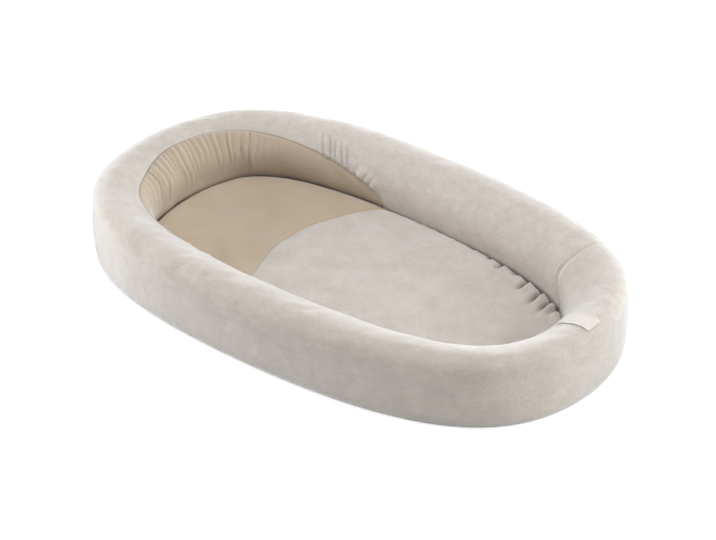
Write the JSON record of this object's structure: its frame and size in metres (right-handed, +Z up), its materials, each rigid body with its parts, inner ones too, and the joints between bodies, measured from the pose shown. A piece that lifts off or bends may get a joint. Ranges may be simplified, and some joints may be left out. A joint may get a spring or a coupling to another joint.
{
  "type": "infant lounger",
  "caption": "Oval infant lounger: a padded bolster ring round a thin mattress, in a zip-off velour and woven cotton cover.",
  "frame": {"origin": "on the floor, under the middle of the lounger's length and width", "axes": "+X along the length to the foot end, +Y to the side with the join seam, +Z up"},
  "size_m": [0.8497, 0.5115, 0.1075],
  "materials": {
    "velour": "short soft pile, light greige",
    "cotton": "fine woven cotton, beige",
    "base_fabric": "plain knitted underside, light greige",
    "satin": "smooth woven ribbon, cream, bare",
    "lining": "thin white lining cloth",
    "filling": "open-cell foam, off-white",
    "zip_tape": "woven zip tape, greige",
    "zip_coil": "nylon coil, greige",
    "zip_metal": "satin nickel"
  },
  "bodies": {
    "lounger": {"bolster_cover": "velour", "head_wall_panel": "cotton", "head_floor_panel": "cotton", "foot_floor_panel": "velour", "base_panel_left": "base_fabric", "base_panel_right": "base_fabric", "woven_label": "satin", "care_label": "satin", "bolster_lining": "lining", "bolster_filling": "filling", "mattress_casing": "lining", "mattress_core": "filling", "zip_tape_left": "zip_tape", "zip_tape_right": "zip_tape", "zip_coil_left": "zip_coil", "zip_coil_right": "zip_coil", "zip_top_stop_left": "zip_metal", "zip_top_stop_right": "zip_metal", "zip_bottom_stop": "zip_metal"},
    "zip_slider": {"zip_slider": "zip_metal"},
    "zip_pull": {"zip_pull": "zip_metal"}
  },
  "joints": [
    {"name": "zip_slide", "type": "slide", "parent": "lounger", "child": "zip_slider", "axis": [-1, 0, 0], "range_m": [0, 0.5]},
    {"name": "pull_hinge", "type": "hinge", "parent": "zip_slider", "child": "zip_pull", "pos_m": [0.25, 0, 0.0015], "axis": [0, -1, 0], "range_deg": [0, 180]}
  ]
}
